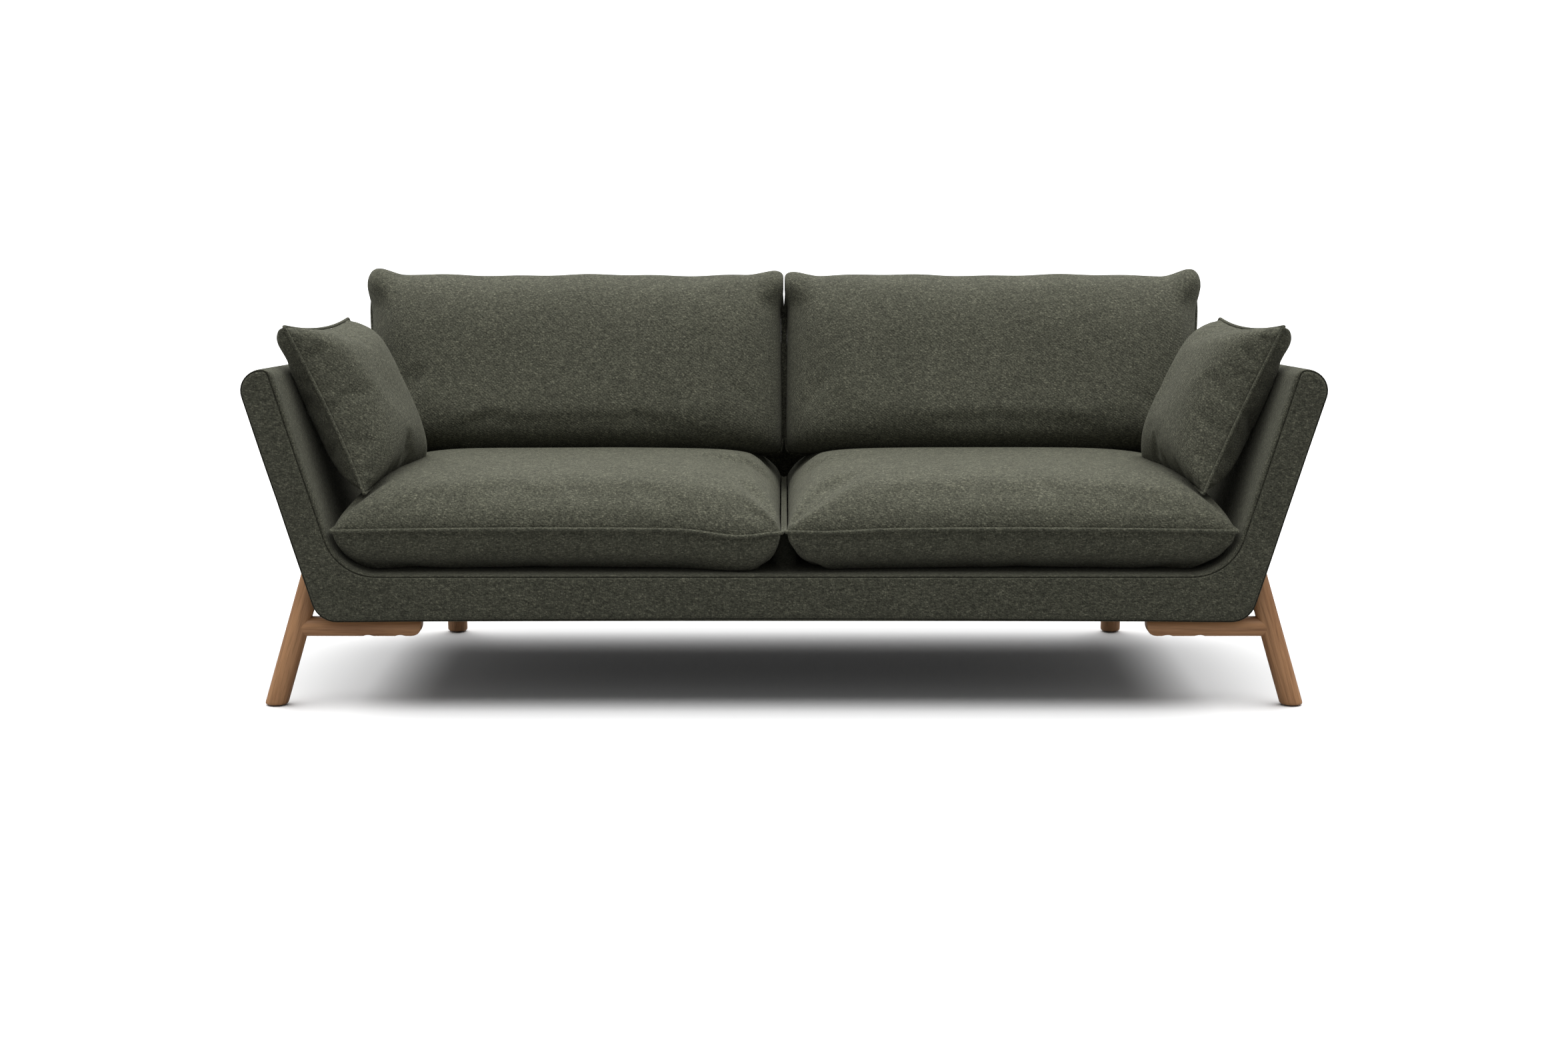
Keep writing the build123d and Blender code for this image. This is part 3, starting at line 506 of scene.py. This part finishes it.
def make_back_panel(cloth):
    """Flat outside back: one panel sewn in along the arms' and base's rear edges."""
    layers = [(4.5, 0.0), (4.0, 1.4), (6.5, 2.0), (16, 2.6), (60, PANEL_PROUD)]
    rings = []
    for inset, proud in layers:
        inset *= MM
        low, high = SHELL_BOTTOM + inset, ARM_TOP_REAR - inset
        grow = inset * LEAN
        points = [(outer_x(low) - grow, low), (outer_x(high) - grow, high),
                  (-outer_x(high) + grow, high), (-outer_x(low) + grow, low)]
        radii = [max(R_OUTER_FOOT - inset, 6 * MM), max(R_OUTER_TOP - inset, 6 * MM)]
        outline = rounded(points, [radii[0], radii[1], radii[1], radii[0]], 10, [14, 40, 14, 40])
        rings.append([Vector((x, rear_y(z) - PANEL_PROUD * MM + proud * MM, z)) for x, z in outline])
    vertices, faces = skin_rings(rings, close_first=False)
    panel = make_object("outside_back", vertices, faces, [cloth])
    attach(panel, "shell")
    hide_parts("outside_back_cover")


# ---------------------------------------------------------------- cushions
def rise(t, low_end, high_end):
    """How full a cushion is across its width: 0 at the seams, 1 in the middle."""
    power, sharpness = high_end if t > 0 else low_end
    return max(0.0, 1 - abs(t) ** power) ** sharpness


def spread(step, steps):
    """Evenly counted positions from -1 to 1, closer together near the ends."""
    s = -1 + 2 * step / steps
    return 0.6 * math.sin(s * math.pi / 2) + 0.4 * s


def smooth(t):
    t = max(0.0, min(1.0, t))
    return t * t * (3 - 2 * t)


def cushion_shell(name, across, along, seam_at, panel_at, cloth):
    """Two panels sewn together round their edge. Returns the object and its seam's vertices."""
    vertices, index, faces = [], {}, []
    for side in (1, -1):
        for j in range(along + 1):
            for i in range(across + 1):
                edge = i in (0, across) or j in (0, along)
                if side == -1 and edge:
                    index[side, i, j] = index[1, i, j]
                    continue
                u, v = spread(i, across), spread(j, along)
                index[side, i, j] = len(vertices)
                vertices.append(seam_at(u, v) if edge else panel_at(u, v, side))
    for side in (1, -1):
        for j in range(along):
            for i in range(across):
                faces.append((index[side, i, j], index[side, i + 1, j],
                              index[side, i + 1, j + 1], index[side, i, j + 1]))
    seam = [index[1, i, 0] for i in range(across)]
    seam += [index[1, across, j] for j in range(along)]
    seam += [index[1, i, along] for i in range(across, 0, -1)]
    seam += [index[1, 0, j] for j in range(along, 0, -1)]
    return make_object(name, vertices, faces, [cloth]), seam


CLOTH_STEPS = 20


def inflate(obj, seam, pressure, slack, cap):
    """Cloth under pressure with its seam held. Slack is spare cloth, and cap the furthest move."""
    group = obj.vertex_groups.new(name="seam")
    group.add(seam, 1.0, "REPLACE")
    cloth = obj.modifiers.new("cloth", "CLOTH")
    settings = cloth.settings
    settings.quality = 6
    settings.mass = 0.3
    settings.tension_stiffness = 18
    settings.compression_stiffness = 14
    settings.shear_stiffness = 6
    settings.bending_stiffness = 2.5
    settings.air_damping = 2.0
    settings.use_pressure = True
    settings.uniform_pressure_force = pressure
    settings.shrink_min = -slack
    settings.vertex_group_mass = "seam"
    settings.effector_weights.gravity = 0
    cloth.collision_settings.use_collision = False
    for step in range(1, CLOTH_STEPS + 1):
        scene.frame_set(step)
    result = obj.evaluated_get(bpy.context.evaluated_depsgraph_get())
    moved = [vertex.co.copy() for vertex in result.data.vertices]
    obj.modifiers.remove(cloth)
    for vertex, target in zip(obj.data.vertices, moved):
        shift = target - vertex.co
        if shift.length > cap:
            shift *= cap / shift.length
        vertex.co += shift
    obj.vertex_groups.clear()
    scene.frame_set(1)


def keep_clear(obj, limits):
    """Moves points that are past a plane back onto it. Each limit is (normal, distance)."""
    for vertex in obj.data.vertices:
        for normal, distance in limits:
            past = vertex.co.dot(normal) - distance
            if past > 0:
                vertex.co -= normal * past
    obj.data.update()


def finish_cushion(obj, seam, body, piping_radius, cloth, nodes):
    """Declares a cushion and lays piping round its seam."""
    middle = sum((vertex.co for vertex in obj.data.vertices), Vector()) / len(obj.data.vertices)
    path = [obj.data.vertices[i].co.copy() for i in seam]
    path = [point + (point - middle).normalized() * piping_radius * 0.5 for point in path]
    fine = obj.modifiers.new("fine", "SUBSURF")
    fine.levels = fine.render_levels = 1
    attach(obj, body)
    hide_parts(*nodes)
    piping = make_object(obj.name + "_piping", *tube(path, piping_radius), [cloth])
    fine = piping.modifiers.new("fine", "SUBSURF")
    fine.levels = fine.render_levels = 1
    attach(piping, body)


def cushion_nodes(kind, side):
    return [f"{kind}_cushion_{piece}_{side}" for piece in ("cover", "core", "zip")]


PIPING = 4.0 * MM             # radius
MIDDLE_GAP = 0.8 * MM         # from a cushion to the sofa's middle plane, and to the deck
SEAT_SEAM_Z = 361.0 * MM
SEAT_CROWN = 96.0 * MM
SEAT_DEPTH_BELOW = SEAT_SEAM_Z - DECK_TOP - 1.2 * MM
SEAT_HOLLOW = 12.0 * MM       # how far the crown drops under the back cushion
DIP_PLACE = -0.80             # where the front seam dips, as a share of the half-width
DIP_WIDTH = 0.16


def make_seat(side, cloth, dip):
    sign = SIDES[side]
    low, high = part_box(f"seat_cushion_cover_{side}")
    inner, outer = PIPING + 0.5 * MM, inner_x(SEAT_SEAM_Z) - PIPING - 6 * MM
    front, rear = low.y - PIPING, high.y - 2 * MM
    middle, half = (inner + outer) / 2, (outer - inner) / 2

    def seam_at(u, v):
        pull_x = 1 - 0.010 * (1 - v * v) * abs(u)
        pull_y = 1 - 0.012 * (1 - abs(u) ** 3) * abs(v)
        x = middle + half * u * (pull_x if u > 0 else 1)
        y = (front + rear) / 2 + (rear - front) / 2 * v * pull_y
        sag = dip * math.exp(-((u - DIP_PLACE) / DIP_WIDTH) ** 2) if v < 0 else 0
        return Vector((sign * x, y, SEAT_SEAM_Z + 4 * MM * (1 - u * u) - sag))

    def panel_at(u, v, panel):
        point = seam_at(u, v)
        if panel > 0:
            height = SEAT_CROWN * rise(u, (9.0, 0.46), (5.6, 0.56)) * rise(v, (4.6, 0.50), (5, 0.5))
            under_back = smooth((v - 0.15) / 0.35)
            height -= SEAT_HOLLOW * under_back * rise(u, (6, 0.5), (6, 0.5)) * rise(v, (6, 0.5), (6, 0.5))
            unrest = noise.noise(Vector((sign * point.x * 3.2, point.y * 3.2, 2.0 * sign)))
            height *= 1 + 0.02 * unrest
        else:
            height = -SEAT_DEPTH_BELOW * rise(u, (20, 0.5), (20, 0.5)) * rise(v, (14, 0.5), (12, 0.5))
            height *= 1 - 0.02 * smooth((-v - 0.4) / 0.4)
        bulge = (9 if panel > 0 else 10) * MM
        bulge *= rise(v, (14, 0.5), (14, 0.5)) * rise(u, (14, 0.5), (14, 0.5))
        point.z += height
        point.y -= bulge * max(0.0, -v) ** 8
        point.x += sign * bulge * 0.6 * max(0.0, u) ** 12
        return point

    seat, seam = cushion_shell(f"seat_cushion_{side}", 72, 60, seam_at, panel_at, cloth)
    inflate(seat, seam, pressure=3.0, slack=0.010, cap=8 * MM)
    deck, middle_plane = Vector((0, 0, -1)), Vector((-sign, 0, 0))
    keep_clear(seat, [(deck, -(DECK_TOP + MIDDLE_GAP)), (middle_plane, -MIDDLE_GAP)])
    finish_cushion(seat, seam, f"seat_cushion_{side}", PIPING, cloth, cushion_nodes("seat", side))


BACK_SEAM_BOTTOM = Vector((0, 0.175, 0.434))
BACK_SEAM_TOP = Vector((0, 0.325, 0.800))
BACK_OUTER_LOW = 0.886        # half-width at the bottom
BACK_SPREAD = 0.036           # and how much wider the top is
BACK_BELLY = 0.146            # how far the front swells before the seam
BACK_REAR_BELLY = 0.070
BACK_TOP_RISE = 37.0 * MM     # how far the front swells above the seam


def make_back_cushion(side, cloth, seed):
    """Full to its edges in front. Its top corners swell into round ears in front of the seam."""
    sign = SIDES[side]
    forward = Vector((0, -1, 0.16)).normalized()

    def seam_at(u, v):
        height = (v + 1) / 2
        outer = BACK_OUTER_LOW + BACK_SPREAD * height
        inner = PIPING + 0.6 * MM + 1.4 * MM * max(0.0, v) ** 3
        round_off = (16 if u > 0 else 5) * MM * abs(v) ** 9
        middle, half = (inner + outer) / 2, (outer - inner) / 2 - round_off
        point = BACK_SEAM_BOTTOM.lerp(BACK_SEAM_TOP, height)
        point.z -= math.copysign((14 if u > 0 else 7) * MM * abs(u) ** 24, v) * abs(v) ** 2
        return Vector((sign * (middle + half * u), point.y, point.z))

    def panel_at(u, v, panel):
        point = seam_at(u, v)
        unrest = 1 + 0.06 * noise.noise(Vector((point.x * 3.0, point.z * 3.5, seed * 3.0)))
        close = rise(u, (44, 0.5), (44, 0.5)) * rise(v, (30, 0.5), (30, 0.5))
        if panel < 0:
            belly = BACK_REAR_BELLY * rise(u, (8, 0.5), (8, 0.5)) * rise(v, (6, 0.5), (5, 0.5))
            point -= forward * belly * unrest
            return point
        belly = BACK_BELLY * rise(u, (9, 0.46), (8, 0.5)) * rise(v, (7, 0.48), (4.2, 0.62))
        point += forward * belly * (1 - 0.10 * v) * unrest
        top = max(0.0, v) ** 4
        ear = smooth((abs(u) - 0.84) / 0.11) * smooth((v - 0.64) / 0.22)
        ripple = 2.2 * MM * math.sin(16 * abs(point.x) + seed)
        ripple += 1.4 * MM * math.sin(41 * abs(point.x) + 2 * seed)
        point.z += close * (top * (BACK_TOP_RISE + ripple) + ear * (20 if u > 0 else 12) * MM)
        sideways = ear * 16 + 9 * abs(u) ** 16 if u > 0 else -ear * 18 - 12 * abs(u) ** 10
        point.x += sign * close * sideways * MM
        point.z -= close * 8 * MM * max(0.0, -v) ** 8
        point += forward * close * ear * 16 * MM
        return point

    back, seam = cushion_shell(f"back_cushion_{side}", 72, 44, seam_at, panel_at, cloth)
    inflate(back, seam, pressure=2.0, slack=0.0, cap=5 * MM)
    wall = Vector((0, 1, -REAR_SLOPE)).normalized()
    behind = Vector((0, rear_y(0) - BACK_THICKNESS - 8 * MM, 0)).dot(wall)
    keep_clear(back, [(wall, behind), (Vector((-sign, 0, 0)), -MIDDLE_GAP)])
    finish_cushion(back, seam, f"back_cushion_{side}", PIPING, cloth, cushion_nodes("back", side))


SCATTER_HALF = 182.0 * MM
SCATTER_CENTRE = Vector((-876.0, -181.0, 584.0)) * MM
SCATTER_ALONG = Vector((0.177, 0.984, -0.029)).normalized()
SCATTER_NORMAL = Vector((0.886, -0.147, 0.439)).normalized()
SCATTER_FRONT = 76.0          # mm from the seam to the face away from the arm
SCATTER_REAR = 58.0           # mm from the seam to the face at the arm
SCATTER_PULL = 0.085          # how far the edges pull in between the corners


def make_scatter(side, cloth, seed):
    sign = SIDES[side]
    upward = SCATTER_NORMAL.cross(SCATTER_ALONG).normalized()

    def local(u, v):
        """Square outline with long pointed corners and edges that pull in."""
        x = u * (1 - SCATTER_PULL * (1 - v * v) * abs(u))
        y = v * (1 - SCATTER_PULL * (1 - u * u) * abs(v))
        return x * SCATTER_HALF, y * SCATTER_HALF

    def at(u, v, lift):
        x, y = local(u, v)
        point = SCATTER_CENTRE + SCATTER_ALONG * x + upward * y + SCATTER_NORMAL * lift
        point.x *= -sign
        return point

    def seam_at(u, v):
        return at(u, v, 2 * MM * math.sin(5 * u + seed) * (1 - v * v))

    def panel_at(u, v, panel):
        full = rise(u, (4.4, 0.66), (4.4, 0.66)) * rise(v, (4.4, 0.66), (4.4, 0.66))
        unrest = 1 + 0.08 * noise.noise(Vector((u * 1.7, v * 1.7, seed * 2.0 + panel)))
        swell = SCATTER_FRONT if panel > 0 else SCATTER_REAR
        point = at(u, v, panel * swell * MM * full * unrest)
        if panel < 0:               # the top front corner swells into an ear behind its piping
            close = rise(u, (30, 0.5), (30, 0.5)) * rise(v, (30, 0.5), (30, 0.5))
            ear = close * smooth((-u - 0.72) / 0.16) * smooth((v - 0.66) / 0.18)
            push = upward * 10 * MM - SCATTER_ALONG * 9 * MM - SCATTER_NORMAL * 12 * MM
            point += Vector((-sign * push.x, push.y, push.z)) * ear
        return point

    pad, seam = cushion_shell(f"scatter_cushion_{side}", 44, 44, seam_at, panel_at, cloth)
    inflate(pad, seam, pressure=4.0, slack=0.022, cap=14 * MM)
    arm = Vector((sign, 0, -ARM_SLOPE)).normalized()
    against = Vector((sign * inner_x(0), 0, 0)).dot(arm) - 2 * MM
    keep_clear(pad, [(arm, against)])
    finish_cushion(pad, seam, f"scatter_cushion_{side}", PIPING * 0.9, cloth,
                   cushion_nodes("scatter", side))


# ---------------------------------------------------------------- legs
LEG_RADIUS = 22.0 * MM
LEG_LEAN = math.radians(16.8)
FRONT_LEG_X = 1015.5 * MM
BAR_RADIUS = 20.0 * MM
BAR_NOSE = 26.0 * MM          # how far the inner end's underside curves back
BOLT_XS = (763.0 * MM, 827.0 * MM)
REAR_LEG_LEAN = math.radians(5.0)
ROUND_SIDES = 48
LEG_BOTTOM = 2.5 * MM         # a glide shows below it
# share of the radius, and height above the leg's bottom in mm
FOOT_ROUND = ((0.80, 0.0), (0.90, 0.6), (0.96, 1.8), (0.99, 3.6), (1.0, 6.0))
# the crossbar's inner end: share of the radius, and distance from the end in mm
BAR_END = ((0.2, 0), (0.45, 0), (0.7, 0), (0.88, 0), (0.95, 0.6), (0.985, 1.6), (1.0, 3.5))
COUNTERBORE_RADIUS = 12.0 * MM
COUNTERBORE_DEPTH = 13.0 * MM


def round_leg(name, foot, direction, grain, normal, distance):
    """A turned leg from a rounded foot up to a plane, given by its normal and distance."""
    side = Vector((0, 1, 0))
    side = (side - direction * side.dot(direction)).normalized()
    other = direction.cross(side)
    angles = [2 * math.pi * s / ROUND_SIDES for s in range(ROUND_SIDES)]
    around = [(side * math.cos(a) + other * math.sin(a)) * LEG_RADIUS for a in angles]
    rings = []
    for share, height in FOOT_ROUND:
        level = LEG_BOTTOM + height * MM
        starts = [foot + spoke * share for spoke in around]
        rings.append([start + direction * ((level - start.z) / direction.z) for start in starts])
    round_top = LEG_BOTTOM + FOOT_ROUND[-1][1] * MM
    steps = 14
    for step in range(1, steps + 1):
        ring = []
        for spoke in around:
            start = foot + spoke
            low = (round_top - start.z) / direction.z
            high = (distance - start.dot(normal)) / direction.dot(normal)
            ring.append(start + direction * (low + (high - low) * step / steps))
        rings.append(ring)
    vertices, faces = skin_rings(rings)
    leg = make_object(name, vertices, faces, [grain])
    leg.data.polygons[-1].use_smooth = False
    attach(leg, "shell")
    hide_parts(name)


def make_crossbar(side, grain):
    """Round bar under the shell with two counterbored bolt holes from below."""
    sign = SIDES[side]
    low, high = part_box(f"front_crossbar_{side}")
    inner_end = min(abs(low.x), abs(high.x))
    y, z = (low.y + high.y) / 2, low.z + BAR_RADIUS
    outer_end = FRONT_LEG_X - math.tan(LEG_LEAN) * z
    angles = [2 * math.pi * s / ROUND_SIDES for s in range(ROUND_SIDES)]

    def ring_at(share, start, progress):
        """A ring whose start follows the end's curve, which runs back under the bar."""
        ring = []
        for angle in angles:
            drop = (1 - math.sin(angle) * share) / 2
            begin = inner_end + start + BAR_NOSE * (1 - math.sqrt(max(0.0, 1 - drop ** 4)))
            ring.append(Vector((sign * (begin + (outer_end - begin) * progress),
                                y + math.cos(angle) * BAR_RADIUS * share,
                                z + math.sin(angle) * BAR_RADIUS * share)))
        return ring

    rings = [ring_at(share, start * MM, 0) for share, start in BAR_END]
    share, start = BAR_END[-1]
    steps = 24
    rings += [ring_at(share, start * MM, step / steps) for step in range(1, steps + 1)]
    vertices, faces = skin_rings(rings)
    bar = make_object(f"crossbar_{side}", vertices, faces, [grain])
    for x in BOLT_XS:
        cutter_vertices, cutter_faces = skin_rings([
            [Vector((sign * x, y, height)) + Vector((math.cos(a), math.sin(a), 0)) * COUNTERBORE_RADIUS
             for a in (2 * math.pi * s / 32 for s in range(32))]
            for height in (low.z - BAR_RADIUS, low.z + COUNTERBORE_DEPTH)])
        cutter = make_object("cutter", cutter_vertices, cutter_faces, [grain], smooth=False)
        hole = bar.modifiers.new("counterbore", "BOOLEAN")
        hole.operation = "DIFFERENCE"
        hole.solver = "EXACT"
        hole.object = cutter
        cut = bpy.data.meshes.new_from_object(bar.evaluated_get(bpy.context.evaluated_depsgraph_get()))
        bar.modifiers.remove(hole)
        bar.data = cut
        bpy.data.objects.remove(cutter)
    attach(bar, "shell")
    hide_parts(f"front_crossbar_{side}")


def make_legs(materials):
    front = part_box("front_leg_right")
    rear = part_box("rear_leg_right")
    for side, sign in SIDES.items():
        lean = LEG_LEAN * sign
        grain = wood(f"front_leg_wood_{side}", WOOD_DARK, WOOD_LIGHT, (0, lean, 0))
        foot = Vector((sign * FRONT_LEG_X, (front[0].y + front[1].y) / 2, 0))
        normal = Vector((sign, 0, -ARM_SLOPE)).normalized()
        distance = Vector((sign * (ARM_FOOT_X - 1.5 * MM), 0, 0)).dot(normal)
        direction = Vector((-sign * math.sin(LEG_LEAN), 0, math.cos(LEG_LEAN)))
        round_leg(f"front_leg_{side}", foot, direction, grain, normal, distance)
        grain = wood(f"crossbar_wood_{side}", WOOD_DARK, WOOD_LIGHT, LENGTHWAYS)
        make_crossbar(side, grain)
        foot = Vector((sign * (rear[0].x + rear[1].x) / 2, rear[1].y - LEG_RADIUS, 0))
        direction = Vector((0, -math.sin(REAR_LEG_LEAN), math.cos(REAR_LEG_LEAN)))
        grain, up = materials["leg_wood"], Vector((0, 0, 1))
        round_leg(f"rear_leg_{side}", foot, direction, grain, up, rear[1].z)


# ---------------------------------------------------------------- build
make_camera()
make_studio()
materials = make_materials()
for subpart in frame["record"]["subparts"]:
    node = frame["nodes"][subpart["node"]]
    node.data.materials.clear()
    node.data.materials.append(materials[subpart["material_slot"]])
make_shell(materials["shell_fabric"], materials["lining_cloth"])
make_back(materials["shell_fabric"])
make_back_panel(materials["shell_fabric"])
make_legs(materials)
for side, dip, seed in (("left", 12 * MM, 1.3), ("right", 4 * MM, 4.1)):
    make_seat(side, materials["cushion_fabric"], dip)
    make_back_cushion(side, materials["cushion_fabric"], seed)
    make_scatter(side, materials["cushion_fabric"], seed)

sizes = [[list(corner) for corner in bounds] for bounds in (cad_bounds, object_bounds())]
